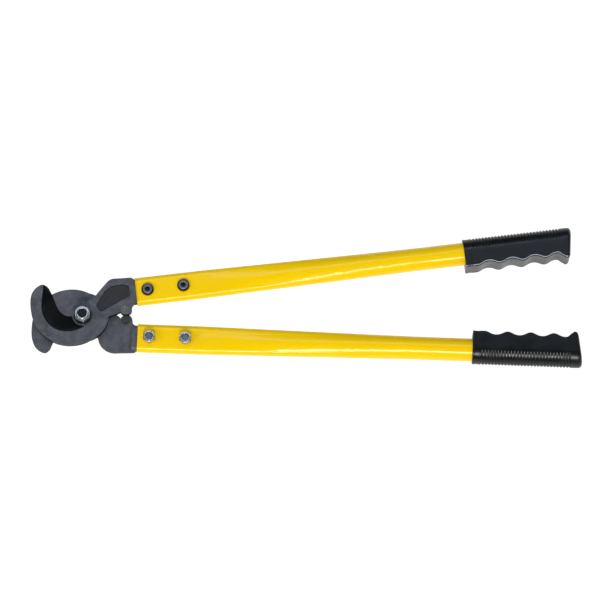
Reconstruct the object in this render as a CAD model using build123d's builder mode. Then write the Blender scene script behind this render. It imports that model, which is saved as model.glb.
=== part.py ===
from build123d import *
from math import cos, radians, sin
import os

# Hand cable cutter, 24 inch class, lying closed on a bench. Millimetres, +Z up.
# Origin: on the pivot axis, at the bench. +X runs from the pivot along the bisector of the two arms.
# The tool is two identical halves, turned half a turn about X through the face where the jaws meet.

# Pivot
jaw_thickness = 8.0
pivot_d = 12.0
pivot_head_af = 18.0
pivot_head_h = 7.5
pivot_thread_d = 10.0
pivot_nut_af = 17.0
pivot_nut_h = 10.0
pivot_washer_d = 20.0
pivot_washer_t = 2.0
washer_chamfer = 0.4
pivot_nut_recess = 1.6
shank_setback = 0.2
running_clearance = 0.05
assembly_clearance = 0.1

# Arms
half_angle = 4.48
arm_offset = 21.7
arm_start = 61.6
tube_d = 25.4
tube_wall = 1.5
flat_width = 32.0
flat_thickness = 12.0
flat_length = 68.0
taper_length = 242.6
round_length = 60.0
tube_hole_clearance = 0.2

# Tongue of the jaw inside the flattened end of the tube
tongue_length = 64.0
tongue_root = 6.0
mouth_gap = 0.4

# Arm screws
screw_d = 8.0
screw_head_d = 14.0
screw_head_h = 4.4
screw_socket_af = 5.0
screw_socket_depth = 3.0
screw_first = 13.0
screw_spacing = 40.0
arm_nut_af = 13.0
arm_nut_h = 8.0
nut_recess = 0.6
screw_crown_d = 7.0
screw_rim_h = 0.8
screw_dome_r = 6.0

# Lock nuts
nut_hex_share = 0.7
nut_ring_wall = 1.1
nut_collar_wall = 0.9
nut_corner = 0.6
nut_lip = 0.5

# Jaw outline, measured from the pivot with the arm axis along +X
hub_r = 28.5
hub_start = -9
hub_end = -80
seat_r = 11.5
seat_start = 168
seat_end = 96
shoulder_root = (17.3, 21.8)
shoulder_middle = {"upper": (24.2, 28.9), "lower": (21.2, 31.0)}
shoulder_top = {"upper": (31.5, 35.6), "lower": (29.5, 37.0)}
tang_top = 38.0
tang_crown_x = 39.5
tang_fall = 1.0
tang_chamfer = 3.4
neck_y = 7.8
neck_middle = (56.5, 6.1)
notch_top = {"upper": (35.5, -2.6), "lower": (36.0, -4.4)}
lobe_turn = 198
lobe_heel = 1.9
blade_tip = (-33.4, 34.8)
blade_crown = (-43.5, 40.2)
pocket_points = (
    (15.6, 9.8),
    (19.6, 1.2),
    (54.6, 16.6),
    (54.8, 28.4),
    (46.8, 30.7),
    (34.5, 29.8),
    (27.0, 24.8),
)
pocket_depth = 1.2
pocket_fillet = 3.2
edge_land = 0.5

# Stop pins
stop_pin_d = 9.0
stop_pin_x = 47.2
stop_pin_y = 1.5
stop_pin_reach = 5.0
stop_pin_dish = 0.6
stop_pin_dish_d = 6.0
stop_pin_boss_d = 3.0
stop_clearance = 0.15

# Grips
grip_length = 122.5
grip_face_wall = 2.8
grip_back_wall = 3.3
grip_crest_wall = 6.3
grip_heel_wall = 9.0
grip_end_wall = 8.0
groove_depth = 3.7
groove_count = 4
first_land = 10.0
first_crest = 13.0
finger_pitch = 25.5
end_slant = 6.0
end_round = 5.0
upper_grip_push = 3.5
rib_pitch = 3.6
rib_count = 28
rib_groove = 1.6
rib_depth = 0.8
rib_start = 10.0
grip_bore_clearance = 0.05

# Levels and lengths that follow from the sizes above
tube_in_grip = grip_length - grip_end_wall - upper_grip_push
grip_thickness = tube_d + 2 * grip_face_wall
grip_back = tube_d / 2 + grip_back_wall
grip_crest = tube_d / 2 + grip_crest_wall
grip_heel = tube_d / 2 + grip_heel_wall
mating_z = max(jaw_thickness + pivot_head_h, grip_thickness / 2)
tube_length = flat_length + taper_length + round_length + tube_in_grip
tongue_thickness = flat_thickness - 2 * (tube_wall + assembly_clearance)
tongue_width = flat_width - 2 * (tube_wall + assembly_clearance)
plate_end = arm_start - mouth_gap

# The stop pins stand level with each other across the bisector, and each lobe just clears the other pin
stop_pin_height = stop_pin_x * sin(radians(half_angle)) + stop_pin_y * cos(radians(half_angle))
pin_middle = (stop_pin_x, stop_pin_y)
lobe_r = 2 * stop_pin_height - stop_pin_d / 2 - stop_clearance

# One frame for each half, with its Z away from the mating face
upper_frame = Plane(
    origin=(0, 0, mating_z),
    x_dir=(cos(radians(half_angle)), sin(radians(half_angle)), 0),
    z_dir=(0, 0, 1),
)
lower_frame = Plane(
    origin=(0, 0, mating_z),
    x_dir=(cos(radians(half_angle)), -sin(radians(half_angle)), 0),
    z_dir=(0, 0, -1),
)
lower_grip_start = arm_start + tube_length - tube_in_grip
upper_grip_start = lower_grip_start - upper_grip_push
halves = (("upper", upper_frame, upper_grip_start), ("lower", lower_frame, lower_grip_start))
screw_places = (("front", arm_start + screw_first), ("rear", arm_start + screw_first + screw_spacing))


def polar(radius, angle):
    """A point at a distance and an angle from the pivot."""
    return (radius * cos(radians(angle)), radius * sin(radians(angle)))


# The blade curves, from the hub round the hook and back along the cutting edge
spine_points = (polar(34.6, -114), polar(44.7, -148), polar(53.5, -175), polar(58.2, 166), polar(62.2, 147.5))
edge_points = ((-29.4, 21.5), (-24.2, 8.6))
edge_root = polar(seat_r, seat_start)
seat_middle = polar(seat_r, (seat_start + seat_end) / 2)
hub_middle = polar(hub_r, (hub_start + hub_end) / 2)
land_points = (
    (-39.6, 42.5),
    (-41.6, 31.0),
    polar(45.4, 168),
    polar(34.2, -161),
    polar(21.6, -132),
    polar(seat_r, -80),
)
bevel_corner_low = (-29.0, 46.0)
bevel_corner_high = (-41.0, 46.0)
bevel_corner_inner = (0.0, 46.0)

# Row of ribs, measured from the mouth of a grip
rib_middle = rib_start + rib_pitch * (rib_count - 1) / 2


def arm_section(frame, along):
    """The plane across an arm at a distance along it, with X to the outside of the tool."""
    centre = frame.from_local_coords(Vector(along, arm_offset, 0))
    return Plane(origin=centre, x_dir=frame.y_dir, z_dir=frame.x_dir)


def stadium(plane, width, thickness):
    """Two flats joined by half rounds, in four edges."""
    flat = (width - thickness) / 2
    side = thickness / 2
    with BuildLine(plane) as outline:
        Line((-flat, side), (flat, side))
        ThreePointArc((flat, side), (flat + side, 0), (flat, -side))
        Line((flat, -side), (-flat, -side))
        ThreePointArc((-flat, -side), (-flat - side, 0), (-flat, side))
    return outline.wire()


def quartered_circle(plane, diameter):
    """A circle in four quarters, so that each flat and each half round of the stadium has its own arc."""
    radius = diameter / 2
    with BuildLine(plane) as outline:
        for start in (135, 45, -45, -135):
            ThreePointArc(polar(radius, start), polar(radius, start - 45), polar(radius, start - 90))
    return outline.wire()


def tube_solid(frame, inset):
    """The flattened, tapering and round stretches of an arm tube, shrunk all round by inset."""
    mouth = arm_section(frame, arm_start)
    taper_start = arm_section(frame, arm_start + flat_length)
    taper_end = arm_section(frame, arm_start + flat_length + taper_length)
    width = flat_width - 2 * inset
    thickness = flat_thickness - 2 * inset
    diameter = tube_d - 2 * inset
    flat_end = stadium(taper_start, width, thickness)
    round_end = quartered_circle(taper_end, diameter)
    taper = Solid.make_loft([flat_end, round_end], True)
    with BuildPart() as solid:
        with BuildSketch(mouth):
            SlotOverall(width, thickness)
        extrude(amount=flat_length)
        add(taper)
        with BuildSketch(taper_end):
            Circle(diameter / 2)
        extrude(amount=round_length + tube_in_grip)
    return solid.part


def grip_section(inset):
    """Section of a grip: flat faces, a tight finger side and a half round back, shrunk all round by inset."""
    half = grip_thickness / 2 - inset
    back = grip_back - inset
    with BuildSketch() as section:
        with BuildLine():
            Polyline((back - half, -half), (-grip_heel, -half), (-grip_heel, half), (back - half, half))
            ThreePointArc((back - half, half), (back, 0), (back - half, -half))
        make_face()
    return section.sketch


def finger_wave(start):
    """The finger side of a grip from its first land to its heel: a trough and a crest for each groove."""
    points = [(start + first_land, arm_offset - grip_crest)]
    for groove in range(groove_count):
        crest_x = start + first_crest + finger_pitch * (groove + 1)
        points.append((crest_x - finger_pitch / 2, arm_offset - grip_crest + groove_depth))
        points.append((crest_x, arm_offset - grip_crest))
    points[-1] = (points[-1][0], arm_offset - grip_heel)
    return points


def write_nut(name, plane, af, height, thread_d):
    """Writes a lock nut standing on a plane, a hexagon with a rolled collar, and the nylon ring it holds."""
    hex_h = height * nut_hex_share
    ring_r = thread_d / 2 + nut_ring_wall
    with BuildPart() as nut:
        with BuildSketch(plane):
            RegularPolygon(af / 2, 6, major_radius=False)
        extrude(amount=hex_h)
        with BuildSketch(Plane(origin=plane.origin, x_dir=plane.x_dir, z_dir=-plane.y_dir)):
            with BuildLine():
                Polyline(
                    (0, 0),
                    (af / 2, 0),
                    (af / 2 + nut_corner, nut_corner),
                    (af / 2 + nut_corner, hex_h - nut_corner),
                    (af / 2, hex_h),
                    (0, hex_h),
                    close=True,
                )
            make_face()
        revolve(axis=Axis(plane.origin, plane.z_dir), mode=Mode.INTERSECT)
        with BuildSketch(plane.offset(hex_h)):
            Circle(ring_r + nut_collar_wall)
        extrude(amount=height - hex_h)
        with BuildSketch(plane):
            Circle(thread_d / 2 + running_clearance)
        extrude(amount=hex_h, mode=Mode.SUBTRACT)
        with BuildSketch(plane.offset(hex_h)):
            Circle(ring_r)
        extrude(amount=height - hex_h - nut_lip, mode=Mode.SUBTRACT)
        with BuildSketch(plane.offset(height - nut_lip)):
            Circle(thread_d / 2 + nut_ring_wall / 2)
        extrude(amount=nut_lip, mode=Mode.SUBTRACT)
    nut.part.label = f"{name}_nut"
    export_step(nut.part, f"parts/{name}_nut.step")

    with BuildPart() as ring:
        with BuildSketch(plane.offset(hex_h)):
            Circle(ring_r - running_clearance)
            Circle(thread_d / 2 + running_clearance, mode=Mode.SUBTRACT)
        extrude(amount=height - hex_h - nut_lip)
    ring.part.label = f"{name}_nut_ring"
    export_step(ring.part, f"parts/{name}_nut_ring.step")


os.makedirs("parts", exist_ok=True)

for side, frame, grip_start in halves:
    # Forged jaw: a flat plate with the hook, the hub and the stop lobe, and a tongue set level with the arm.
    with BuildPart() as bevel:
        with BuildSketch(frame.offset(edge_land)) as bevel_low:
            with BuildLine():
                Line(bevel_corner_low, blade_tip)
                Spline(blade_tip, *edge_points, edge_root)
                Polyline(edge_root, (0, 0), bevel_corner_inner, bevel_corner_low)
            make_face()
        with BuildSketch(frame.offset(jaw_thickness)) as bevel_high:
            with BuildLine():
                Line(bevel_corner_high, land_points[0])
                Spline(*land_points)
                Polyline(land_points[-1], (0, 0), bevel_corner_inner, bevel_corner_high)
            make_face()
        loft([bevel_low.sketch, bevel_high.sketch], ruled=True)
        with BuildSketch(frame):
            Circle(seat_r)
        extrude(amount=jaw_thickness, mode=Mode.SUBTRACT)

    with BuildPart() as jaw:
        with BuildSketch(frame):
            with BuildLine():
                spine = Spline(polar(hub_r, hub_end), *spine_points, blade_crown)
                TangentArc(spine @ 1, blade_tip, tangent=spine % 1)
                Spline(blade_tip, *edge_points, edge_root)
                seat = ThreePointArc(edge_root, seat_middle, polar(seat_r, seat_end))
                Line(seat @ 1, shoulder_root)
                shoulder = ThreePointArc(shoulder_root, shoulder_middle[side], shoulder_top[side])
                crest = TangentArc(shoulder @ 1, (tang_crown_x, tang_top), tangent=shoulder % 1)
                back = Polyline(
                    crest @ 1,
                    (plate_end - tang_chamfer, tang_top - tang_fall),
                    (plate_end, tang_top - tang_chamfer),
                    (plate_end, neck_y),
                )
                neck = ThreePointArc(back @ 1, neck_middle, (stop_pin_x + lobe_r + lobe_heel, stop_pin_y))
                TangentArc(neck @ 1, (stop_pin_x, stop_pin_y - lobe_r), tangent=(0, -1))
                lobe = CenterArc(pin_middle, lobe_r, 270, lobe_turn - 270)
                ThreePointArc(lobe @ 1, notch_top[side], polar(hub_r, hub_start))
                ThreePointArc(polar(hub_r, hub_start), hub_middle, polar(hub_r, hub_end))
            make_face()
        extrude(amount=jaw_thickness)
        with BuildSketch(frame.offset(jaw_thickness)):
            with BuildLine():
                Polyline(*pocket_points, close=True)
            make_face()
            fillet(vertices(), pocket_fillet)
        extrude(amount=-pocket_depth, mode=Mode.SUBTRACT)
        add(bevel.part, mode=Mode.SUBTRACT)
        with BuildSketch(arm_section(frame, plate_end - tongue_root)):
            SlotOverall(tongue_width, tongue_thickness)
        extrude(amount=tongue_root + mouth_gap + tongue_length)
        with BuildSketch(frame):
            Circle(pivot_d / 2 + running_clearance)
        extrude(amount=jaw_thickness, mode=Mode.SUBTRACT)
        with BuildSketch(frame):
            with Locations(pin_middle):
                Circle(stop_pin_d / 2)
        extrude(amount=jaw_thickness, mode=Mode.SUBTRACT)
        with BuildSketch(frame.offset(-flat_thickness)):
            with Locations(*[(along, arm_offset) for _, along in screw_places]):
                Circle(screw_d / 2 + tube_hole_clearance)
        extrude(amount=2 * flat_thickness, mode=Mode.SUBTRACT)
    jaw.part.label = f"{side}_jaw"
    export_step(jaw.part, f"parts/{side}_jaw.step")

    # Stop pin: pressed into the lobe, flush and dished in front, standing out past the mating face behind.
    with BuildPart() as stop_pin:
        with BuildSketch(frame.offset(-stop_pin_reach)):
            with Locations(pin_middle):
                Circle(stop_pin_d / 2)
        extrude(amount=stop_pin_reach + jaw_thickness)
        with BuildSketch(frame.offset(jaw_thickness)):
            with Locations(pin_middle):
                Circle(stop_pin_dish_d / 2)
                Circle(stop_pin_boss_d / 2, mode=Mode.SUBTRACT)
        extrude(amount=-stop_pin_dish, mode=Mode.SUBTRACT)
    stop_pin.part.label = f"{side}_stop_pin"
    export_step(stop_pin.part, f"parts/{side}_stop_pin.step")

    # Arm tube: round at the grip, drawn out to a flattened end that takes the tongue.
    tube_outside = tube_solid(frame, 0)
    tube_inside = tube_solid(frame, tube_wall)
    with BuildPart() as arm_tube:
        add(tube_outside)
        add(tube_inside, mode=Mode.SUBTRACT)
        with BuildSketch(frame.offset(-flat_thickness)):
            with Locations(*[(along, arm_offset) for _, along in screw_places]):
                Circle(screw_d / 2 + tube_hole_clearance)
        extrude(amount=2 * flat_thickness, mode=Mode.SUBTRACT)
    arm_tube.part.label = f"{side}_arm_tube"
    export_step(arm_tube.part, f"parts/{side}_arm_tube.step")

    # Grip: a moulded sleeve with four finger grooves inside, ribs on its back and a closed end.
    rib_root_section = grip_section(rib_depth)
    full_section = grip_section(0)
    with BuildPart() as rib_cutter:
        with BuildSketch(frame.offset(-grip_thickness)):
            with Locations((grip_start + rib_middle, arm_offset + grip_back)):
                with GridLocations(rib_pitch, 1, rib_count, 1):
                    Rectangle(rib_groove, 2 * grip_back)
        extrude(amount=2 * grip_thickness)
        with BuildSketch(arm_section(frame, grip_start)):
            add(rib_root_section)
        extrude(amount=grip_length, mode=Mode.SUBTRACT)

    with BuildPart() as grip:
        with BuildSketch(frame.offset(-grip_thickness / 2)):
            with BuildLine():
                Polyline(
                    (grip_start, arm_offset - grip_crest),
                    (grip_start, arm_offset + grip_back),
                    (grip_start + grip_length - end_round, arm_offset + grip_back),
                )
                end_arc = TangentArc(
                    (grip_start + grip_length - end_round, arm_offset + grip_back),
                    (grip_start + grip_length, arm_offset + grip_back - end_round),
                    tangent=(1, 0),
                )
                heel = (grip_start + grip_length - end_slant, arm_offset - grip_heel)
                wave_points = finger_wave(grip_start)
                Polyline(end_arc @ 1, heel, wave_points[-1])
                Spline(*wave_points, tangents=((1, 0), (1, 0)))
                Line(wave_points[0], (grip_start, arm_offset - grip_crest))
            make_face()
        extrude(amount=grip_thickness)
        with BuildSketch(arm_section(frame, grip_start)):
            add(full_section)
        extrude(amount=grip_length, mode=Mode.INTERSECT)
        add(rib_cutter.part, mode=Mode.SUBTRACT)
        with BuildSketch(arm_section(frame, grip_start)):
            Circle(tube_d / 2 + grip_bore_clearance)
        extrude(amount=arm_start + tube_length - grip_start + assembly_clearance, mode=Mode.SUBTRACT)
    grip.part.label = f"{side}_grip"
    export_step(grip.part, f"parts/{side}_grip.step")

    # Two button-head screws clamp the tube to the tongue, each with a lock nut on the far side.
    for place, along in screw_places:
        seat_plane = Plane(
            origin=frame.from_local_coords(Vector(along, arm_offset, flat_thickness / 2)),
            x_dir=frame.x_dir,
            z_dir=frame.z_dir,
        )
        nut_plane = Plane(
            origin=frame.from_local_coords(Vector(along, arm_offset, -flat_thickness / 2)),
            x_dir=frame.x_dir,
            z_dir=-frame.z_dir,
        )
        with BuildPart() as screw:
            profile_plane = Plane(origin=seat_plane.origin, x_dir=seat_plane.x_dir, z_dir=-seat_plane.y_dir)
            with BuildSketch(profile_plane):
                with BuildLine():
                    Polyline((0, screw_head_h), (screw_crown_d / 2, screw_head_h))
                    Line((0, screw_head_h), (0, 0))
                    Line((0, 0), (screw_head_d / 2, 0))
                    Line((screw_head_d / 2, 0), (screw_head_d / 2, screw_rim_h))
                    RadiusArc(
                        (screw_head_d / 2, screw_rim_h),
                        (screw_crown_d / 2, screw_head_h),
                        -screw_dome_r,
                    )
                make_face()
            revolve(axis=Axis(seat_plane.origin, seat_plane.z_dir))
            with BuildSketch(seat_plane.offset(screw_head_h)):
                RegularPolygon(screw_socket_af / 2, 6, major_radius=False)
            extrude(amount=-screw_socket_depth, mode=Mode.SUBTRACT)
            with BuildSketch(seat_plane):
                Circle(screw_d / 2)
            extrude(amount=-(flat_thickness + arm_nut_h - nut_recess))
        screw.part.label = f"{side}_{place}_screw"
        export_step(screw.part, f"parts/{side}_{place}_screw.step")
        write_nut(f"{side}_{place}", nut_plane, arm_nut_af, arm_nut_h, screw_d)

# Pivot bolt: hexagon head under the lower jaw, plain shank through both jaws, thread for the lock nut.
with BuildPart() as pivot_bolt:
    with BuildSketch(Plane.XY.offset(mating_z - jaw_thickness - pivot_head_h)):
        RegularPolygon(pivot_head_af / 2, 6, major_radius=False)
    extrude(amount=pivot_head_h)
    with BuildSketch(Plane.XY.offset(mating_z - jaw_thickness)):
        Circle(pivot_d / 2)
    extrude(amount=2 * jaw_thickness - shank_setback)
    with BuildSketch(Plane.XY.offset(mating_z + jaw_thickness - shank_setback)):
        Circle(pivot_thread_d / 2)
    extrude(amount=shank_setback + pivot_washer_t + pivot_nut_h - pivot_nut_recess)
pivot_bolt.part.label = "pivot_bolt"
export_step(pivot_bolt.part, "parts/pivot_bolt.step")

# Washer on the upper jaw
washer_plane = Plane.XY.offset(mating_z + jaw_thickness)
with BuildPart() as pivot_washer:
    with BuildSketch(washer_plane):
        Circle(pivot_washer_d / 2)
        Circle(pivot_thread_d / 2 + assembly_clearance, mode=Mode.SUBTRACT)
    extrude(amount=pivot_washer_t)
    chamfer(pivot_washer.faces().sort_by(Axis.Z)[-1].edges().sort_by(SortBy.RADIUS)[-1], washer_chamfer)
pivot_washer.part.label = "pivot_washer"
export_step(pivot_washer.part, "parts/pivot_washer.step")

write_nut("pivot", washer_plane.offset(pivot_washer_t), pivot_nut_af, pivot_nut_h, pivot_thread_d)
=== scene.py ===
from math import atan2, cos, pi, radians, sin, tan

import bmesh
import bpy
from bpy.props import FloatProperty, FloatVectorProperty, IntProperty, PointerProperty
from mathutils import Matrix, Vector


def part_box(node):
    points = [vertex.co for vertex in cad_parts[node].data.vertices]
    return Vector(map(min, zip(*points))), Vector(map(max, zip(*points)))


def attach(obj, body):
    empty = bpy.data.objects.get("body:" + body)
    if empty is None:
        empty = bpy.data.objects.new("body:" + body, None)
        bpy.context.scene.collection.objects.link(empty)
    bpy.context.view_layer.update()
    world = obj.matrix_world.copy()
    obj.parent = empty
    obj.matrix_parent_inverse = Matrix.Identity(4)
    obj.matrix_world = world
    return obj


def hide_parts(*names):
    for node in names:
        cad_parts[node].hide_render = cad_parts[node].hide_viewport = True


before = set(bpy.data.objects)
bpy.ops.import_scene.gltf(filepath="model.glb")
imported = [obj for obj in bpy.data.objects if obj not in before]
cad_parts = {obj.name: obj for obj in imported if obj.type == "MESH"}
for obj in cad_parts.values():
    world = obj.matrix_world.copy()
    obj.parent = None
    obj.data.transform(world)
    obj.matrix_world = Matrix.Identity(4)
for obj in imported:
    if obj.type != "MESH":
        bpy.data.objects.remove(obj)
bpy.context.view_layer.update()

bl_info = {
    "name": "Hand Cable Cutter",
    "version": (1, 0, 0),
    "blender": (4, 5, 0),
    "location": "View3D > Sidebar > Cable Cutter",
    "description": "Builds the finished surfaces of a two-handed cable cutter around its solid model",
    "category": "Object",
}

MM = 0.001
SIDES = ("upper", "lower")
PLACES = ("front", "rear")
SEAM_TILT = radians(29)
SHARP_ANGLE = radians(35)
CREASE_ANGLE = radians(38)
FLAT_ANGLE = radians(0.6)
MERGE_DISTANCE = 0.002 * MM
GRIP_END_ROUND = 5 * MM
BORE_CLEARANCE = 0.1 * MM
TONGUE_START = 60 * MM
JAW_BEVEL, JAW_POCKET, JAW_SHADED_SIDE = 1, 2, 3
WALL_FACING = 0.08
BEVEL_FACING = 0.97
FLOOR_FACING = 0.9
SHORTEST_ROLLED_EDGE = 0.02 * MM
SEAM_REACH = 1.9 * MM
END_LEAN_START = 0.85


# ---------------------------------------------------------------- places taken from the CAD parts


def node_box(node, placing):
    """The lowest and highest corner of a CAD node, seen from a placing."""
    inverse = placing.inverted()
    points = [inverse @ vertex.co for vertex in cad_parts[node].data.vertices]
    low = Vector([min(point[axis] for point in points) for axis in range(3)])
    high = Vector([max(point[axis] for point in points) for axis in range(3)])
    return low, high


def node_middle(node):
    """The middle of a CAD node's box."""
    low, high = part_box(node)
    return (low + high) / 2


def arm_placing(side):
    """X along an arm from the pivot, Y to the tool's outside, Z away from the face between the jaws."""
    along = node_middle(f"{side}_rear_screw") - node_middle(f"{side}_front_screw")
    turn = atan2(along.y, along.x)
    grip_low, grip_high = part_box(f"{side}_grip")
    placing = Matrix.Translation((0, 0, (grip_low.z + grip_high.z) / 2)) @ Matrix.Rotation(turn, 4, "Z")
    if side == "lower":
        placing = placing @ Matrix.Rotation(pi, 4, "X")
    return placing


PLACING = {side: arm_placing(side) for side in SIDES}


# ---------------------------------------------------------------- sizes and colours


def linear(code):
    """An sRGB hex colour as linear red, green, blue and one."""
    channels = [int(code[start : start + 2], 16) / 255 for start in (1, 3, 5)]
    curve = [c / 12.92 if c <= 0.04045 else ((c + 0.055) / 1.055) ** 2.4 for c in channels]
    return (*curve, 1.0)


def size(name, default, description):
    """A length that a user may change, in metres."""
    return FloatProperty(name=name, description=description, default=default, unit="LENGTH", precision=5)


def colour(name, code, description):
    """A colour that a user may change."""
    return FloatVectorProperty(
        name=name, description=description, default=linear(code), size=4, min=0, max=1, subtype="COLOR"
    )


class CableCutterSizes(bpy.types.PropertyGroup):
    forging_edge: size("Forging Edge", 0.9 * MM, "How far the edges of the forged jaws roll over")
    tube_edge: size("Tube Edge", 0.35 * MM, "How far the enamel rounds the cut edge of a tube")
    pin_edge: size("Pin Edge", 0.35 * MM, "Chamfer round the ends of a stop pin")
    bolt_edge: size("Bolt Edge", 0.5 * MM, "Chamfer round the pivot bolt's head and end")
    washer_edge: size("Washer Edge", 0.2 * MM, "Rounding left on the washer by stamping")
    nut_edge: size("Nut Edge", 0.25 * MM, "Rounding of a nut's six corners")
    pivot_thread: size("Pivot Thread", 10 * MM, "Thread of the pivot bolt")
    pivot_nut: size("Pivot Nut", 17 * MM, "Pivot nut across its flats")
    arm_thread: size("Arm Thread", 8 * MM, "Thread of the arm screws")
    arm_nut: size("Arm Nut", 13 * MM, "Arm nuts across their flats")
    nut_collar: size("Nut Collar", 2.0 * MM, "How far a nut's collar stands out past the thread")
    screw_head: size("Screw Head", 4.4 * MM, "Height of an arm screw's head")
    screw_rim: size("Screw Rim", 0.8 * MM, "Height of the straight rim below the dome")
    screw_socket: size("Screw Socket", 5.0 * MM, "Hexagon socket across its flats")
    lip_height: size("Lip Height", 0.35 * MM, "How far a grip's mouth bead stands proud of its neck")
    lip_length: size("Lip Length", 2.4 * MM, "Length of a grip's mouth bead")
    rib_pitch: size("Rib Pitch", 3.6 * MM, "Distance from rib to rib on a grip's back")
    rib_depth: size("Rib Depth", 0.9 * MM, "Depth of the grooves between the ribs")
    rib_count: IntProperty(name="Ribs", description="Number of ribs on a grip's back", default=28, min=1)
    first_rib: size("First Rib", 9.5 * MM, "Distance from a grip's mouth to its first rib")
    first_crest: size("First Crest", 13 * MM, "Distance from a grip's mouth to its first crest")
    finger_pitch: size("Finger Pitch", 25.5 * MM, "Distance from one finger groove to the next")
    groove_depth: size("Groove Depth", 3.7 * MM, "Depth of the finger grooves below their crests")
    heel_step: size("Heel Step", 2.7 * MM, "How far a grip's heel stands out past the crests")
    end_slant: size("End Slant", 6 * MM, "How far a grip's end leans back at its heel")
    seam_width: size("Seam Width", 0.8 * MM, "Width of the moulded facet beside the finger grooves")
    grip_corner: size("Grip Corner", 1.6 * MM, "Radius of a grip's corners on the finger side")


class CableCutterColours(bpy.types.PropertyGroup):
    forging: colour("Forging", "#5B5C62", "Phosphated face of the forged jaws")
    forging_dark: colour("Forging Shade", "#414146", "Thicker patches of phosphate")
    forging_edge: colour("Forging Edge", "#A2A6AD", "Steel showing through where edges rub")
    ground: colour("Ground Bevel", "#050705", "Blackened bevel behind the cutting edge")
    pocket: colour("Pocket", "#26282A", "Rough floor of the recess in a tang")
    # Near black for the jaws' sides: painted shade. The bevel also uses it as a second, random tone.
    wall: colour("Forging Wall", "#0E0F11", "Burnt black sides of the forged plates")
    enamel: colour("Enamel", "#FFD500", "Baked enamel of the arms")
    enamel_deep: colour("Enamel Shade", "#FBCB00", "Thicker enamel")
    grip: colour("Grip", "#07090A", "Soft vinyl of the grips")
    # Pale grey for the facet beside the finger grooves: a painted highlight along the seam.
    seam_highlight: colour("Flash Line", "#9BA3AB", "Trimmed flash beside the finger grooves")
    zinc: colour("Zinc", "#D6D8D8", "Bright zinc plating of nuts and pivot")
    zinc_shade: colour("Zinc Shade", "#A9ADAD", "Duller passivated zinc")
    oxide: colour("Black Oxide", "#222428", "Blackened heads of the arm screws")
    pin: colour("Pin", "#79766C", "Ground end of a stop pin")
    # Dark blue-grey for the ring inside a nut: painted shade in the nut's throat.
    nylon: colour("Nylon", "#3A4450", "Locking ring inside a nut")
    # Also the lighter ring on the screw crowns, a painted highlight, and the darker flats of the pivot nut,
    # painted shade.
    thread: colour("Thread End", "#7A828E", "Sawn end of a screw")
    floor: colour("Floor", "#F7F7F6", "Light that the floor gives")
    floor_skin: colour("Floor Skin", "#7A7A7A", "Matt skin of the floor")


def sizes():
    """The sizes in use."""
    return bpy.context.scene.cable_cutter_sizes


def colours():
    """The colours in use."""
    return bpy.context.scene.cable_cutter_colours


# ---------------------------------------------------------------- materials


def add_node(tree, kind, inputs=None, **settings):
    """Adds a node with its settings, and gives each input a value or a link from another node's output."""
    node = tree.nodes.new(kind)
    for name, value in settings.items():
        setattr(node, name, value)
    for name, value in (inputs or {}).items():
        if isinstance(value, bpy.types.NodeSocket):
            tree.links.new(value, node.inputs[name])
        else:
            node.inputs[name].default_value = value
    return node


def new_material(name):
    """An empty material and its node tree, or None as the tree if the material is made already."""
    found = bpy.data.materials.get(name)
    if found:
        return found, None
    made = bpy.data.materials.new(name)
    made.use_nodes = True
    made.node_tree.nodes.clear()
    return made, made.node_tree


def close_material(tree, shader):
    """Links the shader to the material's output."""
    add_node(tree, "ShaderNodeOutputMaterial", {"Surface": shader.outputs["BSDF"]})


def grains(grain):
    """The texture scale that gives grains of a size in metres."""
    return 1 / grain


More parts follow.
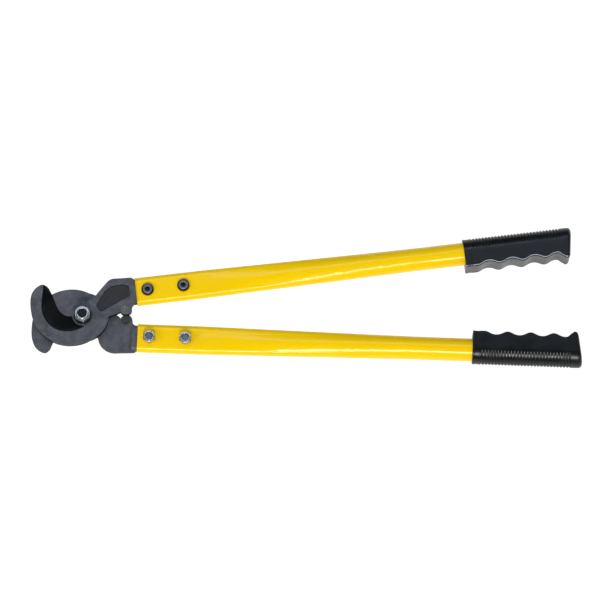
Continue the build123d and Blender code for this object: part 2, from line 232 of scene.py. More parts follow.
def phosphated_forging():
    """Drop-forged carbon steel, shot-blasted and phosphated: a matt blue-grey skin with mottling and pits,
    lighter where the rolled edges have been rubbed back to steel."""
    made, tree = new_material("phosphated_forging")
    if tree is None:
        return made
    place = add_node(tree, "ShaderNodeTexCoord").outputs["Object"]
    mottle = add_node(
        tree,
        "ShaderNodeTexNoise",
        {"Vector": place, "Scale": grains(9 * MM), "Detail": 5, "Roughness": 0.62},
    )
    speck = add_node(
        tree,
        "ShaderNodeTexNoise",
        {"Vector": place, "Scale": grains(1.1 * MM), "Detail": 4, "Roughness": 0.7},
    )
    pits = add_node(
        tree, "ShaderNodeTexVoronoi", {"Vector": place, "Scale": grains(4.2 * MM), "Randomness": 1}
    )
    patch = add_node(
        tree,
        "ShaderNodeMapRange",
        {"Value": mottle.outputs["Fac"], "From Min": 0.38, "From Max": 0.66, "To Min": 0, "To Max": 0.8},
    )
    skin = add_node(
        tree,
        "ShaderNodeMix",
        {0: patch.outputs["Result"], 6: colours().forging, 7: colours().forging_dark},
        data_type="RGBA",
    )
    freckle = add_node(
        tree,
        "ShaderNodeMapRange",
        {"Value": speck.outputs["Fac"], "From Min": 0.5, "From Max": 0.7, "To Min": 0, "To Max": 0.6},
    )
    freckled = add_node(
        tree,
        "ShaderNodeMix",
        {0: freckle.outputs["Result"], 6: skin.outputs[2], 7: colours().pocket},
        data_type="RGBA",
    )
    worn = add_node(tree, "ShaderNodeAttribute", attribute_name="worn")
    rubbed = add_node(
        tree, "ShaderNodeMath", {0: worn.outputs["Fac"], 1: mottle.outputs["Fac"]}, operation="MULTIPLY"
    )
    edged = add_node(
        tree,
        "ShaderNodeMix",
        {0: rubbed.outputs[0], 6: freckled.outputs[2], 7: colours().forging_edge},
        data_type="RGBA",
    )
    matt = add_node(
        tree,
        "ShaderNodeMapRange",
        {"Value": mottle.outputs["Fac"], "From Min": 0.3, "From Max": 0.7, "To Min": 0.46, "To Max": 0.62},
    )
    metal = add_node(
        tree,
        "ShaderNodeMapRange",
        {"Value": worn.outputs["Fac"], "From Min": 0, "From Max": 1, "To Min": 0.25, "To Max": 0.6},
    )
    dent = add_node(
        tree,
        "ShaderNodeMapRange",
        {"Value": pits.outputs["Distance"], "From Min": 0, "From Max": 0.16, "To Min": -1, "To Max": 0},
    )
    grain = add_node(
        tree, "ShaderNodeBump", {"Height": speck.outputs["Fac"], "Strength": 0.6, "Distance": 0.25 * MM}
    )
    pitted = add_node(
        tree,
        "ShaderNodeBump",
        {
            "Height": dent.outputs["Result"],
            "Strength": 0.8,
            "Distance": 0.3 * MM,
            "Normal": grain.outputs["Normal"],
        },
    )
    shader = add_node(
        tree,
        "ShaderNodeBsdfPrincipled",
        {
            "Base Color": edged.outputs[2],
            "Metallic": metal.outputs["Result"],
            "Roughness": matt.outputs["Result"],
            "Normal": pitted.outputs["Normal"],
        },
    )
    close_material(tree, shader)
    return made


def ground_bevel():
    """Hardened steel, ground and then blackened: a dark bevel with fine wheel lines round the hook."""
    made, tree = new_material("ground_blackened_bevel")
    if tree is None:
        return made
    place = add_node(tree, "ShaderNodeTexCoord").outputs["Object"]
    wheel = add_node(tree, "ShaderNodeVectorMath", {0: place, 1: (0, 0, 1)}, operation="MULTIPLY")
    lines = add_node(
        tree,
        "ShaderNodeTexNoise",
        {"Vector": wheel.outputs["Vector"], "Scale": grains(0.35 * MM), "Detail": 3, "Roughness": 0.6},
    )
    cloud = add_node(tree, "ShaderNodeTexNoise", {"Vector": place, "Scale": grains(7 * MM), "Detail": 3})
    tone = add_node(
        tree,
        "ShaderNodeMix",
        {0: cloud.outputs["Fac"], 6: colours().ground, 7: colours().wall},
        data_type="RGBA",
    )
    gloss = add_node(
        tree,
        "ShaderNodeMapRange",
        {"Value": lines.outputs["Fac"], "From Min": 0.3, "From Max": 0.7, "To Min": 0.36, "To Max": 0.5},
    )
    bump = add_node(
        tree, "ShaderNodeBump", {"Height": lines.outputs["Fac"], "Strength": 0.25, "Distance": 0.05 * MM}
    )
    shader = add_node(
        tree,
        "ShaderNodeBsdfPrincipled",
        {
            "Base Color": tone.outputs[2],
            "Metallic": 0,
            "Specular IOR Level": 0.12,
            "Roughness": gloss.outputs["Result"],
            "Normal": bump.outputs["Normal"],
        },
    )
    close_material(tree, shader)
    return made


def shaded_jaw_side():
    """The trimmed side of the forging, unpolished, with streaks from the trimming die. Its near-black tone
    is painted shade on the plates' sides.
    """
    made, tree = new_material("jaw_side_painted_shade")
    if tree is None:
        return made
    place = add_node(tree, "ShaderNodeTexCoord").outputs["Object"]
    streaks = add_node(tree, "ShaderNodeMapping", {"Vector": place, "Scale": (1, 1, 0.15)})
    lines = add_node(
        tree,
        "ShaderNodeTexNoise",
        {"Vector": streaks.outputs["Vector"], "Scale": grains(0.8 * MM), "Detail": 4, "Roughness": 0.6},
    )
    worn = add_node(tree, "ShaderNodeAttribute", attribute_name="worn")
    rubbed = add_node(tree, "ShaderNodeMath", {0: worn.outputs["Fac"], 1: 0.45}, operation="MULTIPLY")
    tone = add_node(
        tree,
        "ShaderNodeMix",
        {0: lines.outputs["Fac"], 6: colours().ground, 7: colours().wall},
        data_type="RGBA",
    )
    edged = add_node(
        tree,
        "ShaderNodeMix",
        {0: rubbed.outputs[0], 6: tone.outputs[2], 7: colours().forging},
        data_type="RGBA",
    )
    bump = add_node(
        tree, "ShaderNodeBump", {"Height": lines.outputs["Fac"], "Strength": 0.4, "Distance": 0.1 * MM}
    )
    shader = add_node(
        tree,
        "ShaderNodeBsdfPrincipled",
        {
            "Base Color": edged.outputs[2],
            "Metallic": 0.1,
            "Roughness": 0.62,
            "Normal": bump.outputs["Normal"],
        },
    )
    close_material(tree, shader)
    return made


def rough_pocket():
    """The forging die's own texture, left unblasted in the recess of a tang: dark, coarse and dull."""
    made, tree = new_material("as_forged_pocket")
    if tree is None:
        return made
    place = add_node(tree, "ShaderNodeTexCoord").outputs["Object"]
    lumps = add_node(
        tree,
        "ShaderNodeTexNoise",
        {"Vector": place, "Scale": grains(2.2 * MM), "Detail": 6, "Roughness": 0.7},
    )
    tone = add_node(
        tree,
        "ShaderNodeMix",
        {0: lumps.outputs["Fac"], 6: colours().ground, 7: colours().forging_dark},
        data_type="RGBA",
    )
    bump = add_node(
        tree, "ShaderNodeBump", {"Height": lumps.outputs["Fac"], "Strength": 1, "Distance": 1.2 * MM}
    )
    shader = add_node(
        tree,
        "ShaderNodeBsdfPrincipled",
        {
            "Base Color": tone.outputs[2],
            "Metallic": 0.1,
            "Roughness": 0.72,
            "Normal": bump.outputs["Normal"],
        },
    )
    close_material(tree, shader)
    return made


def yellow_enamel():
    """Baked enamel on a drawn steel tube: deep yellow with a faint orange peel under a clear skin."""
    made, tree = new_material("baked_yellow_enamel")
    if tree is None:
        return made
    place = add_node(tree, "ShaderNodeTexCoord").outputs["Object"]
    flow = add_node(tree, "ShaderNodeTexNoise", {"Vector": place, "Scale": grains(45 * MM), "Detail": 2})
    peel = add_node(tree, "ShaderNodeTexNoise", {"Vector": place, "Scale": grains(2.4 * MM), "Detail": 1})
    dust = add_node(tree, "ShaderNodeTexNoise", {"Vector": place, "Scale": grains(0.9 * MM), "Detail": 2})
    tone = add_node(
        tree,
        "ShaderNodeMix",
        {0: flow.outputs["Fac"], 6: colours().enamel, 7: colours().enamel_deep},
        data_type="RGBA",
    )
    haze = add_node(
        tree,
        "ShaderNodeMapRange",
        {"Value": dust.outputs["Fac"], "From Min": 0.3, "From Max": 0.75, "To Min": 0.2, "To Max": 0.3},
    )
    bump = add_node(
        tree, "ShaderNodeBump", {"Height": peel.outputs["Fac"], "Strength": 0.1, "Distance": 0.05 * MM}
    )
    shader = add_node(
        tree,
        "ShaderNodeBsdfPrincipled",
        {
            "Base Color": tone.outputs[2],
            "Roughness": haze.outputs["Result"],
            "Normal": bump.outputs["Normal"],
            "Specular IOR Level": 0.15,
            "Coat Weight": 0.18,
            "Coat Roughness": 0.08,
        },
    )
    close_material(tree, shader)
    return made


def vinyl(name, skin_colour, low, high):
    """Soft vinyl: a faint leathery ripple under a fine grain, and gloss that drifts between two values."""
    made, tree = new_material(name)
    if tree is None:
        return made
    place = add_node(tree, "ShaderNodeTexCoord").outputs["Object"]
    ripple = add_node(tree, "ShaderNodeTexNoise", {"Vector": place, "Scale": grains(6 * MM), "Detail": 2})
    skin = add_node(tree, "ShaderNodeTexNoise", {"Vector": place, "Scale": grains(0.7 * MM), "Detail": 3})
    touch = add_node(tree, "ShaderNodeTexNoise", {"Vector": place, "Scale": grains(22 * MM), "Detail": 4})
    gloss = add_node(
        tree,
        "ShaderNodeMapRange",
        {"Value": touch.outputs["Fac"], "From Min": 0.35, "From Max": 0.7, "To Min": low, "To Max": high},
    )
    wave = add_node(
        tree, "ShaderNodeBump", {"Height": ripple.outputs["Fac"], "Strength": 0.2, "Distance": 0.25 * MM}
    )
    bump = add_node(
        tree,
        "ShaderNodeBump",
        {
            "Height": skin.outputs["Fac"],
            "Strength": 0.12,
            "Distance": 0.05 * MM,
            "Normal": wave.outputs["Normal"],
        },
    )
    shader = add_node(
        tree,
        "ShaderNodeBsdfPrincipled",
        {
            "Base Color": skin_colour,
            "Roughness": gloss.outputs["Result"],
            "Specular IOR Level": 0.36,
            "Normal": bump.outputs["Normal"],
        },
    )
    close_material(tree, shader)
    return made


def moulded_vinyl():
    """Black vinyl as it leaves a polished mould, glossy but duller where it is handled."""
    return vinyl("moulded_black_vinyl", colours().grip, 0.27, 0.4)


def painted_seam_highlight():
    """The facet along the mould seam, coloured pale: a painted highlight beside the finger grooves."""
    return vinyl("vinyl_painted_seam_highlight", colours().seam_highlight, 0.45, 0.6)


def plated_metal(name, bright, dull, low, high, metallic):
    """Plated or blackened steel: a metal whose tone and gloss drift a little, with a fine drawn grain."""
    made, tree = new_material(name)
    if tree is None:
        return made
    place = add_node(tree, "ShaderNodeTexCoord").outputs["Object"]
    cloud = add_node(tree, "ShaderNodeTexNoise", {"Vector": place, "Scale": grains(3.5 * MM), "Detail": 4})
    grain = add_node(tree, "ShaderNodeTexNoise", {"Vector": place, "Scale": grains(0.4 * MM), "Detail": 2})
    tone = add_node(tree, "ShaderNodeMix", {0: cloud.outputs["Fac"], 6: bright, 7: dull}, data_type="RGBA")
    gloss = add_node(
        tree,
        "ShaderNodeMapRange",
        {"Value": cloud.outputs["Fac"], "From Min": 0.3, "From Max": 0.7, "To Min": low, "To Max": high},
    )
    bump = add_node(
        tree, "ShaderNodeBump", {"Height": grain.outputs["Fac"], "Strength": 0.2, "Distance": 0.03 * MM}
    )
    shader = add_node(
        tree,
        "ShaderNodeBsdfPrincipled",
        {
            "Base Color": tone.outputs[2],
            "Metallic": metallic,
            "Roughness": gloss.outputs["Result"],
            "Normal": bump.outputs["Normal"],
        },
    )
    close_material(tree, shader)
    return made


def zinc_plate():
    """Electroplated zinc, clear passivated: bright and cool, clouded where the plating is thicker."""
    return plated_metal("clear_passivated_zinc", colours().zinc, colours().zinc_shade, 0.22, 0.36, 1)


def black_oxide():
    """Steel blackened in a hot salt bath and oiled: near black with a soft satin shine on its curves."""
    return plated_metal("oiled_black_oxide", colours().oxide, colours().ground, 0.28, 0.42, 0.55)


def shaded_nut_steel():
    """The flats of the pivot nut, mid grey and half bright: painted shade on the sides of the bright zinc
    nut.
    """
    return plated_metal("nut_flats_painted_shade", colours().thread, colours().forging_dark, 0.3, 0.45, 0.85)


def sawn_end_and_crown_highlight():
    """Plain carbon steel at a sawn thread end: dull blue-grey. The same steel rings the crowns of the screw
    heads as a painted highlight.
    """
    return plated_metal("sawn_end_and_painted_crown_highlight", colours().thread, colours().forging, 0.45, 0.6, 0.5)


def ground_pin():
    """Hardened dowel steel, centreless ground: a dull warm grey end."""
    return plated_metal("ground_dowel_steel", colours().pin, colours().forging, 0.38, 0.52, 0.5)


def blackened_pin():
    """The same dowel under the jaws' phosphate: dark grey and matt."""
    return plated_metal("phosphated_dowel_steel", colours().forging_dark, colours().pocket, 0.5, 0.62, 0.3)


def nylon():
    """Moulded nylon, waxy. Its dark blue-grey is painted shade for the shadowed throat of a nut."""
    made, tree = new_material("nylon_painted_shade")
    if tree is None:
        return made
    place = add_node(tree, "ShaderNodeTexCoord").outputs["Object"]
    cloud = add_node(tree, "ShaderNodeTexNoise", {"Vector": place, "Scale": grains(1.5 * MM), "Detail": 3})
    gloss = add_node(
        tree,
        "ShaderNodeMapRange",
        {"Value": cloud.outputs["Fac"], "From Min": 0.3, "From Max": 0.7, "To Min": 0.4, "To Max": 0.55},
    )
    shader = add_node(
        tree,
        "ShaderNodeBsdfPrincipled",
        {
            "Base Color": colours().nylon,
            "Roughness": gloss.outputs["Result"],
            "IOR": 1.53,
            "Subsurface Weight": 0.15,
            "Subsurface Radius": (MM, MM, MM),
        },
    )
    close_material(tree, shader)
    return made


def painted_floor():
    """Matt white acrylic over a light box: plain, softly glowing, with only a breath of unevenness."""
    made, tree = new_material("lit_white_acrylic")
    if tree is None:
        return made
    place = add_node(tree, "ShaderNodeTexCoord").outputs["Object"]
    cloud = add_node(tree, "ShaderNodeTexNoise", {"Vector": place, "Scale": grains(400 * MM), "Detail": 2})
    matt = add_node(
        tree,
        "ShaderNodeMapRange",
        {"Value": cloud.outputs["Fac"], "From Min": 0, "From Max": 1, "To Min": 0.86, "To Max": 0.96},
    )
    shader = add_node(
        tree,
        "ShaderNodeBsdfPrincipled",
        {
            "Base Color": colours().floor_skin,
            "Roughness": matt.outputs["Result"],
            "Specular IOR Level": 0.1,
            "Emission Color": colours().floor,
            "Emission Strength": 1.02,
        },
    )
    close_material(tree, shader)
    return made


# ---------------------------------------------------------------- making and finishing pieces


def finish_piece(bm, name, body, nodes, materials):
    """Turns a bmesh into a finished piece that rides on a body and stands for CAD nodes."""
    mesh = bpy.data.meshes.new(name)
    bm.to_mesh(mesh)
    bm.free()
    mesh.shade_smooth()
    mesh.set_sharp_from_angle(angle=CREASE_ANGLE)
    for material in materials:
        mesh.materials.append(material)
    piece = bpy.data.objects.new(name, mesh)
    bpy.context.scene.collection.objects.link(piece)
    weighted = piece.modifiers.new("even shading", "WEIGHTED_NORMAL")
    weighted.keep_sharp = True
    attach(piece, body)
    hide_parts(*nodes)
    return piece


def merged_copy(node):
    """A bmesh of a CAD node with its loose triangles joined into whole faces."""
    bm = bmesh.new()
    bm.from_mesh(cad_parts[node].data)
    bmesh.ops.remove_doubles(bm, verts=bm.verts, dist=MERGE_DISTANCE)
    bmesh.ops.dissolve_limit(bm, angle_limit=FLAT_ANGLE, verts=bm.verts, edges=bm.edges)
    return bm


def roll_edges(bm, radius, steps, shortest=0):
    """Rolls over the sharp edges of a bmesh, and marks the middle of each roll as worn."""
    worn = bm.verts.layers.float.new("worn")
    sharp = []
    for edge in bm.edges:
        if edge.is_manifold and edge.calc_face_angle() > SHARP_ANGLE and edge.calc_length() > shortest:
            sharp.append(edge)
    rolled = bmesh.ops.bevel(
        bm,
        geom=sharp,
        offset=radius,
        offset_type="OFFSET",
        affect="EDGES",
        segments=steps,
        profile=0.5,
        material=-1,
        clamp_overlap=True,
    )
    rolls = set(rolled["faces"])
    for vertex in {vertex for face in rolls for vertex in face.verts}:
        if rolls.issuperset(vertex.link_faces):
            vertex[worn] = 1


def soften(node, radius, steps, body, materials):
    """A piece that is a CAD node with its sharp edges rolled over."""
    bm = merged_copy(node)
    roll_edges(bm, radius, steps)
    return finish_piece(bm, f"{node}_finished", body, [node], materials)


def ringed(rings, placing, loop=False):
    """A closed shell drawn out ring by ring. A loop joins its last ring to its first."""
    bm = bmesh.new()
    station = bm.verts.layers.int.new("station")
    ring = bmesh.ops.create_circle(bm, segments=len(rings[0]), radius=1)["verts"]
    for number, vertex in enumerate(ring):
        vertex[station] = number
        vertex.co = rings[0][number]
    edges = list(bm.edges)
    if not loop:
        bmesh.ops.contextual_create(bm, geom=edges)
    for points in rings[1:] + (rings[:1] if loop else []):
        drawn = bmesh.ops.extrude_edge_only(bm, edges=edges)["geom"]
        edges = [item for item in drawn if isinstance(item, bmesh.types.BMEdge)]
        for vertex in drawn:
            if isinstance(vertex, bmesh.types.BMVert):
                vertex.co = points[vertex[station]]
    if loop:
        bmesh.ops.remove_doubles(bm, verts=bm.verts, dist=MERGE_DISTANCE)
    else:
        bmesh.ops.contextual_create(bm, geom=edges)
    bmesh.ops.recalc_face_normals(bm, faces=bm.faces)
    bmesh.ops.transform(bm, matrix=placing, verts=bm.verts)
    return bm


def hex_ring(height, round_r, af=None):
    """A ring at a height: a circle, or a hexagon across its flats whose corners a circle cuts off."""
    count = 48
    points = []
    for number in range(count):
        angle = 2 * pi * number / count
        radius = round_r
        if af:
            flat = cos((angle + pi / 6) % (pi / 3) - pi / 6)
            radius = min(round_r, af / 2 / flat)
        points.append(Vector((radius * cos(angle), radius * sin(angle), height)))
    return points


def fastener_placing(node, side, direction):
    """The placing and height of a fastener, whose axis runs through the middle of a CAD node."""
    low, high = node_box(node, PLACING[side])
    middle = (low + high) / 2
    seat = low.z if direction > 0 else high.z
    placing = PLACING[side] @ Matrix.Translation((middle.x, middle.y, seat))
    if direction < 0:
        placing = placing @ Matrix.Rotation(pi, 4, "X")
    return placing, high.z - low.z


def mark_band(bm, placing, low, high, number):
    """Gives the faces of a fastener between two heights along its axis another of its materials."""
    inverse = placing.inverted()
    for face in bm.faces:
        if low < (inverse @ face.calc_center_median()).z < high:
            face.material_index = number


def lock_nut(node, side, direction, af, thread_d, body, hex_material):
    """A nylon-ring lock nut: six chamfered flats and a rolled collar."""
    placing, height = fastener_placing(node, side, direction)
    corner = af * 0.577 * 0.97
    hex_h = height * 0.7
    collar = thread_d / 2 + sizes().nut_collar
    throat = thread_d / 2 + 0.1 * MM
    rings = [
        hex_ring(height - 1.2 * MM, throat),
        hex_ring(height - 0.3 * MM, throat),
        hex_ring(height - 0.05 * MM, throat + 0.35 * MM),
        hex_ring(height, (throat + collar) / 2),
        hex_ring(height - 0.1 * MM, collar - 0.35 * MM),
        hex_ring(height - 0.45 * MM, collar),
        hex_ring(hex_h + 0.15 * MM, collar),
        hex_ring(hex_h, collar + 0.2 * MM),
        hex_ring(hex_h, af / 2 * 0.97, af),
        hex_ring(hex_h - 0.75 * MM, corner, af),
        hex_ring(0.6 * MM, corner, af),
        hex_ring(0, af / 2 * 0.98, af),
        hex_ring(0, thread_d / 2 + 0.05 * MM),
    ]
    bm = ringed(rings, placing, loop=True)
    roll_edges(bm, sizes().nut_edge, 2)
    mark_band(bm, placing, -MM, hex_h - 0.05 * MM, 1)
    return finish_piece(bm, f"{node}_finished", body, [node], [zinc_plate(), hex_material])


def button_screw(node, side):
    """A button-head socket screw: a low dome with a hexagon socket, and its shank."""
    placing, length = fastener_placing(node, side, 1)
    low, high = node_box(node, PLACING[side])
    head_r = (high.x - low.x) / 2
    rim = sizes().screw_rim
    socket = sizes().screw_socket
    shank_r = sizes().arm_thread / 2
    seat = length - sizes().screw_head
    crown_r = head_r / 2
    rings = [
        hex_ring(0, shank_r * 0.8),
        hex_ring(0.8 * MM, shank_r),
        hex_ring(seat, shank_r),
        hex_ring(seat, head_r - 0.3 * MM),
        hex_ring(seat + 0.3 * MM, head_r),
        hex_ring(seat + rim, head_r),
    ]
    rise = length - seat - rim
    for step in range(1, 9):
        turn = step / 8 * pi / 2
        radius = crown_r + (head_r - crown_r) * cos(turn)
        rings.append(hex_ring(seat + rim + rise * sin(turn), radius))
    rings += [
        hex_ring(length - 0.05 * MM, crown_r * 0.97),
        hex_ring(length - 0.55 * MM, crown_r * 0.8),
        hex_ring(length - 0.9 * MM, head_r, socket),
        hex_ring(length - 2.8 * MM, head_r, socket),
        hex_ring(length - 3.4 * MM, 0.5 * MM),
    ]
    bm = ringed(rings, placing)
    mark_band(bm, placing, -MM, 2 * MM, 1)
    # The crown round the socket takes the lighter steel: a painted highlight ring on the dome.
    mark_band(bm, placing, length - 0.8 * MM, length, 1)
    return finish_piece(
        bm, f"{node}_finished", f"{side}_half", [node], [black_oxide(), sawn_end_and_crown_highlight()]
    )


# ---------------------------------------------------------------- operators


class CableCutterJaws(bpy.types.Operator):
    """Forged jaws with rolled edges, a blackened bevel behind the cutting edge and a rough pocket"""

    bl_idname = "cable_cutter.jaws"
    bl_label = "Forged Jaws"

    def execute(self, context):
        for side in SIDES:
            node = f"{side}_jaw"
            inverse = PLACING[side].inverted()
            front = node_box("upper_jaw", PLACING["upper"])[1].z
            bm = merged_copy(node)
            for face in bm.faces:
                facing = (inverse.to_3x3() @ face.normal).z
                middle = inverse @ face.calc_center_median()
                sunk = front - middle.z
                # Sideways faces take the near-black side material: painted shade on the jaws' sides.
                if abs(facing) < WALL_FACING:
                    face.material_index = JAW_SHADED_SIDE
                elif middle.x < 0 and WALL_FACING < facing < BEVEL_FACING:
                    face.material_index = JAW_BEVEL
                elif facing > FLOOR_FACING and 0.5 * MM < sunk < 3 * MM and middle.x < TONGUE_START:
                    face.material_index = JAW_POCKET
            roll_edges(bm, sizes().forging_edge, 3, shortest=SHORTEST_ROLLED_EDGE)
            finish_piece(
                bm,
                f"{side}_jaw_forging",
                f"{side}_half",
                [node],
                [phosphated_forging(), ground_bevel(), rough_pocket(), shaded_jaw_side()],
            )
        return {"FINISHED"}


class CableCutterStopPins(bpy.types.Operator):
    """The two dowels that stop the jaws when the arms meet"""

    bl_idname = "cable_cutter.stop_pins"
    bl_label = "Stop Pins"

    def execute(self, context):
        for side, material in (("upper", ground_pin()), ("lower", blackened_pin())):
            soften(f"{side}_stop_pin", sizes().pin_edge, 2, f"{side}_half", [material])
        return {"FINISHED"}


class CableCutterPivot(bpy.types.Operator):
    """Pivot bolt, washer and lock nut"""

    bl_idname = "cable_cutter.pivot"
    bl_label = "Pivot"

    def execute(self, context):
        body = "lower_half"
        bm = merged_copy("pivot_bolt")
        roll_edges(bm, sizes().bolt_edge, 2)
        # The threaded end above the washer takes black oxide: painted shade inside the nut's throat.
        mark_band(bm, Matrix.Identity(4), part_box("pivot_washer")[1].z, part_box("pivot_bolt")[1].z + MM, 1)
        zinc_and_shaded_end = [zinc_plate(), black_oxide()]
        finish_piece(bm, "pivot_bolt_finished", body, ["pivot_bolt"], zinc_and_shaded_end)
        soften("pivot_washer", sizes().washer_edge, 2, body, [black_oxide()])
        # The pivot nut's flats take the darker steel: painted shade on its sides.
        lock_nut("pivot_nut", "upper", 1, sizes().pivot_nut, sizes().pivot_thread, body, shaded_nut_steel())
        return {"FINISHED"}


class CableCutterTubes(bpy.types.Operator):
    """Enamelled arm tubes, drawn out flat over the tongues of the jaws"""

    bl_idname = "cable_cutter.tubes"
    bl_label = "Arm Tubes"

    def execute(self, context):
        for side in SIDES:
            body = f"{side}_half"
            soften(f"{side}_arm_tube", sizes().tube_edge, 2, body, [yellow_enamel()])
        return {"FINISHED"}


class CableCutterFasteners(bpy.types.Operator):
    """Button-head screws and lock nuts that clamp the tubes to the jaws"""

    bl_idname = "cable_cutter.fasteners"
    bl_label = "Arm Screws and Nuts"

    def execute(self, context):
        for side in SIDES:
            for place in PLACES:
                button_screw(f"{side}_{place}_screw", side)
                nut = f"{side}_{place}_nut"
                lock_nut(nut, side, -1, sizes().arm_nut, sizes().arm_thread, f"{side}_half", zinc_plate())
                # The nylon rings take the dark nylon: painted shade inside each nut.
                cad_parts[f"{side}_{place}_nut_ring"].material_slots[0].material = nylon()
        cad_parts["pivot_nut_ring"].material_slots[0].material = nylon()
        return {"FINISHED"}


# ---------------------------------------------------------------- grips


def finger_line(along, crest, trough, heel):
    """How far the finger side of a grip stands from the arm's axis, at a distance from its mouth."""
    fingers = 4
    narrowing = 1.25
    number, share = divmod((along - sizes().first_crest) / sizes().finger_pitch, 1)
    if number < 0:
        return crest
    if number >= fingers:
        return heel
    top = heel if number == fingers - 1 and share > 0.5 else crest
    return trough + (top - trough) * (0.5 + 0.5 * cos(2 * pi * share)) ** narrowing


def grip_outline(back, finger, half, groove, inset):
    """The points round a grip: half-round back with its grooves, flat faces, and a rounded finger side."""
    points = []
    middle = back - half
    steps = 32
    for step in range(steps + 1):
        angle = radians(90 - 180 * step / steps)
        cut = min(1, max(0, (radians(80) - abs(angle)) / radians(9)))
        radius = half - groove * cut - inset
        points.append((middle + radius * cos(angle), radius * sin(angle)))
    face = half - inset
    side = finger - inset
    bend = max(sizes().grip_corner - inset, 0.6 * MM)
    facet = sizes().seam_width
    wall = side - bend * (1 - sin(SEAM_TILT)) - facet
    flat = [(middle - share * (middle + wall), face) for share in (0.2, 0.4, 0.6, 0.8, 0.97, 1)]
    flat.append((-wall - 0.1 * facet, face - 0.1 * facet * tan(SEAM_TILT)))
    drop = facet * tan(SEAM_TILT) + bend * cos(SEAM_TILT)
    for step in range(7):
        angle = radians(90) + SEAM_TILT + (radians(90) - SEAM_TILT) * step / 6
        flat.append((-side + bend + bend * cos(angle), face - drop + bend * sin(angle)))
    for share in (0.6, 0.3, 0):
        flat.append((-side, (face - drop) * share))
    points += [(y, -z) for y, z in flat]
    points += reversed(flat[:-1])
    return points


def grip_stations(length):
    """Along a grip, from its mouth: distance, how far the skin stands in, and share of the rib depth."""
    s = sizes()
    stations = [
        (0, 0.9 * MM, 0),
        (0.3 * MM, s.lip_height * 0.4, 0),
        (0.9 * MM, 0, 0),
        (s.lip_length - 0.6 * MM, 0, 0),
        (s.lip_length, s.lip_height * 0.5, 0),
        (s.lip_length + 0.4 * MM, s.lip_height, 0),
        (s.lip_length + 3 * MM, s.lip_height, 0),
        (s.first_rib - 1.5 * MM, s.lip_height * 0.5, 0),
    ]
    for rib in range(s.rib_count):
        start = s.first_rib + rib * s.rib_pitch
        for share, depth in ((0, 0), (0.12, 0.85), (0.22, 1), (0.36, 1), (0.46, 0.85), (0.58, 0)):
            stations.append((start + share * s.rib_pitch, 0, depth))
    stations.append((length - GRIP_END_ROUND - 1.5 * MM, 0, 0))
    for step in range(1, 9):
        turn = step / 8 * pi / 2
        start = length - GRIP_END_ROUND
        stations.append((start + GRIP_END_ROUND * sin(turn), GRIP_END_ROUND * (1 - cos(turn)), 0))
    return stations


def grip_sleeve(side):
    """A bmesh of one grip, bored for its tube, drawn out station by station."""
    low, high = node_box(f"{side}_grip", PLACING[side])
    tube_low, tube_high = node_box(f"{side}_arm_tube", PLACING[side])
    screw_low, screw_high = node_box(f"{side}_rear_screw", PLACING[side])
    axis = (screw_low.y + screw_high.y) / 2
    length = high.x - low.x
    half = (high.z - low.z) / 2
    back = high.y - axis
    heel = axis - low.y
    crest = heel - sizes().heel_step
    trough = crest - sizes().groove_depth
    bore = (tube_high.z - tube_low.z) / 2 + BORE_CLEARANCE
    around = [atan2(z, y) for y, z in grip_outline(back, crest, half, 0, 0)]
    rings = []
    for inside in (tube_high.x - low.x + BORE_CLEARANCE, 0):
        rings.append([Vector((low.x + inside, axis + bore * cos(a), bore * sin(a))) for a in around])
    for along, inset, groove in grip_stations(length):
        finger = finger_line(along, crest, trough, heel)
        ring = []
        for y, z in grip_outline(back, finger, half, groove * sizes().rib_depth, inset):
            share = max(0, along / length - END_LEAN_START) / (1 - END_LEAN_START)
            lean = share * sizes().end_slant * (back - y) / (back + heel)
            ring.append(Vector((low.x + along - lean, axis + y, z)))
        rings.append(ring)
    bm = ringed(rings, PLACING[side])
    inverse = PLACING[side].inverted()
    # Faces of the facet beside the finger grooves take the pale second material: a painted highlight along
    # the seam.
    for face in bm.faces:
        middle = inverse @ face.calc_center_median()
        inward = finger_line(middle.x - low.x, crest, trough, heel) - (axis - middle.y)
        if inward < SEAM_REACH and 0.01 * MM < half - middle.z < sizes().seam_width * tan(SEAM_TILT):
            face.material_index = 1
    return bm


class CableCutterGrips(bpy.types.Operator):
    """Moulded vinyl grips with ribs on the back, four finger grooves and a mouth bead"""

    bl_idname = "cable_cutter.grips"
    bl_label = "Grips"

    def execute(self, context):
        for side in SIDES:
            finish_piece(
                grip_sleeve(side),
                f"{side}_grip_sleeve",
                f"{side}_half",
                [f"{side}_grip"],
                [moulded_vinyl(), painted_seam_highlight()],
            )
        return {"FINISHED"}


# ---------------------------------------------------------------- stage


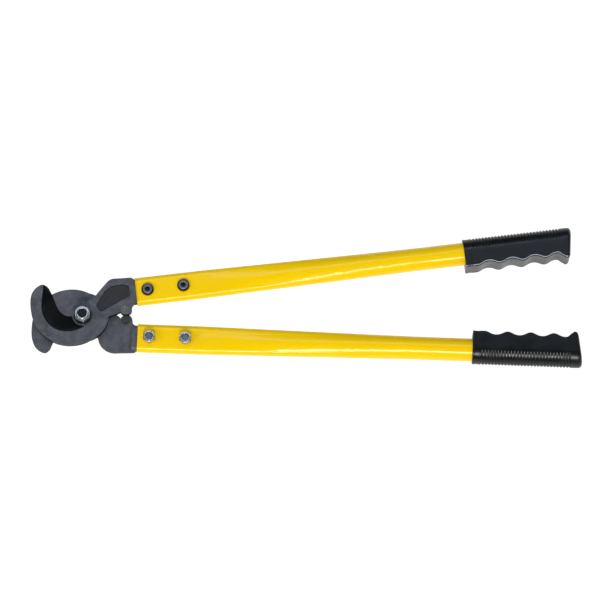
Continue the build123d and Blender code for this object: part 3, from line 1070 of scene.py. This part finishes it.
class CableCutterStage(bpy.types.Operator):
    """Pale floor, soft studio light and the camera"""

    bl_idname = "cable_cutter.stage"
    bl_label = "Stage"

    def execute(self, context):
        scene = context.scene
        bm = bmesh.new()
        bmesh.ops.create_grid(bm, x_segments=4, y_segments=4, size=6)
        mesh = bpy.data.meshes.new("floor")
        bm.to_mesh(mesh)
        bm.free()
        mesh.materials.append(painted_floor())
        floor = bpy.data.objects.new("floor", mesh)
        scene.collection.objects.link(floor)

        turn = radians(2.4)
        rise = radians(75)
        ahead = Vector((sin(turn), cos(turn), 0))
        target = Vector((0.2413, 0.0099, 0.0155))
        distance = 4.0
        lens = bpy.data.cameras.new("camera")
        lens.lens = 216
        lens.sensor_width = 36
        lens.clip_end = 20
        camera = bpy.data.objects.new("camera", lens)
        camera.location = target + distance * (Vector((0, 0, 1)) * sin(rise) - ahead * cos(rise))
        camera.rotation_euler = (target - camera.location).to_track_quat("-Z", "Y").to_euler()
        scene.collection.objects.link(camera)
        scene.camera = camera

        key_rise = radians(47)
        key = bpy.data.lights.new("key", "SUN")
        key.energy = 1.25
        key.angle = radians(13)
        key_object = bpy.data.objects.new("key", key)
        key_from = Vector((0, 0, 1)) * sin(key_rise) - ahead * cos(key_rise)
        key_object.rotation_euler = key_from.to_track_quat("Z", "Y").to_euler()
        scene.collection.objects.link(key_object)

        for name, place, aim, wide, deep, power, tint in (
            ("overhead", (0.3, 0.68, 1.3), (0.3, 0.1, 0), 2.4, 0.36, 9, "#D3E2FA"),
            ("left_fill", (-1.2, -0.3, 1.0), (0.1, 0, 0), 1.0, 1.0, 8, "#FFFFFF"),
            ("strip", (0.3, -1.04, 1.08), (0.3, 0, 0), 4.0, 0.25, 12, "#FFFFFF"),
        ):
            light = bpy.data.lights.new(name, "AREA")
            light.shape = "RECTANGLE"
            light.size = wide
            light.size_y = deep
            light.energy = power
            light.color = linear(tint)[:3]
            lamp = bpy.data.objects.new(name, light)
            lamp.location = place
            lamp.rotation_euler = (Vector(place) - Vector(aim)).to_track_quat("Z", "Y").to_euler()
            lamp.visible_glossy = name != "left_fill"
            scene.collection.objects.link(lamp)

        world = bpy.data.worlds.new("studio")
        world.use_nodes = True
        world.node_tree.nodes["Background"].inputs["Color"].default_value = linear("#F2F4F8")
        world.node_tree.nodes["Background"].inputs["Strength"].default_value = 0.12
        scene.world = world
        scene.view_settings.view_transform = "Standard"
        return {"FINISHED"}


OPERATORS = (
    CableCutterJaws,
    CableCutterStopPins,
    CableCutterPivot,
    CableCutterTubes,
    CableCutterFasteners,
    CableCutterGrips,
    CableCutterStage,
)


class CableCutterPanel(bpy.types.Panel):
    """Lists the cutter's pieces"""

    bl_idname = "VIEW3D_PT_cable_cutter"
    bl_label = "Cable Cutter"
    bl_space_type = "VIEW_3D"
    bl_region_type = "UI"
    bl_category = "Cable Cutter"

    def draw(self, context):
        for operator in OPERATORS:
            self.layout.operator(operator.bl_idname)
        for group in (sizes(), colours()):
            for name in group.__annotations__:
                self.layout.prop(group, name)


CLASSES = (CableCutterSizes, CableCutterColours, *OPERATORS, CableCutterPanel)


def register():
    """Registers the classes and hangs the settings on the scene."""
    for item in CLASSES:
        bpy.utils.register_class(item)
    bpy.types.Scene.cable_cutter_sizes = PointerProperty(type=CableCutterSizes)
    bpy.types.Scene.cable_cutter_colours = PointerProperty(type=CableCutterColours)


def unregister():
    """Takes the settings and the classes away again."""
    del bpy.types.Scene.cable_cutter_colours
    del bpy.types.Scene.cable_cutter_sizes
    for item in reversed(CLASSES):
        bpy.utils.unregister_class(item)


def main():
    """Builds every piece and the stage."""
    register()
    for operator in OPERATORS:
        group, name = operator.bl_idname.split(".")
        getattr(getattr(bpy.ops, group), name)()


if __name__ == "__main__":
    main()
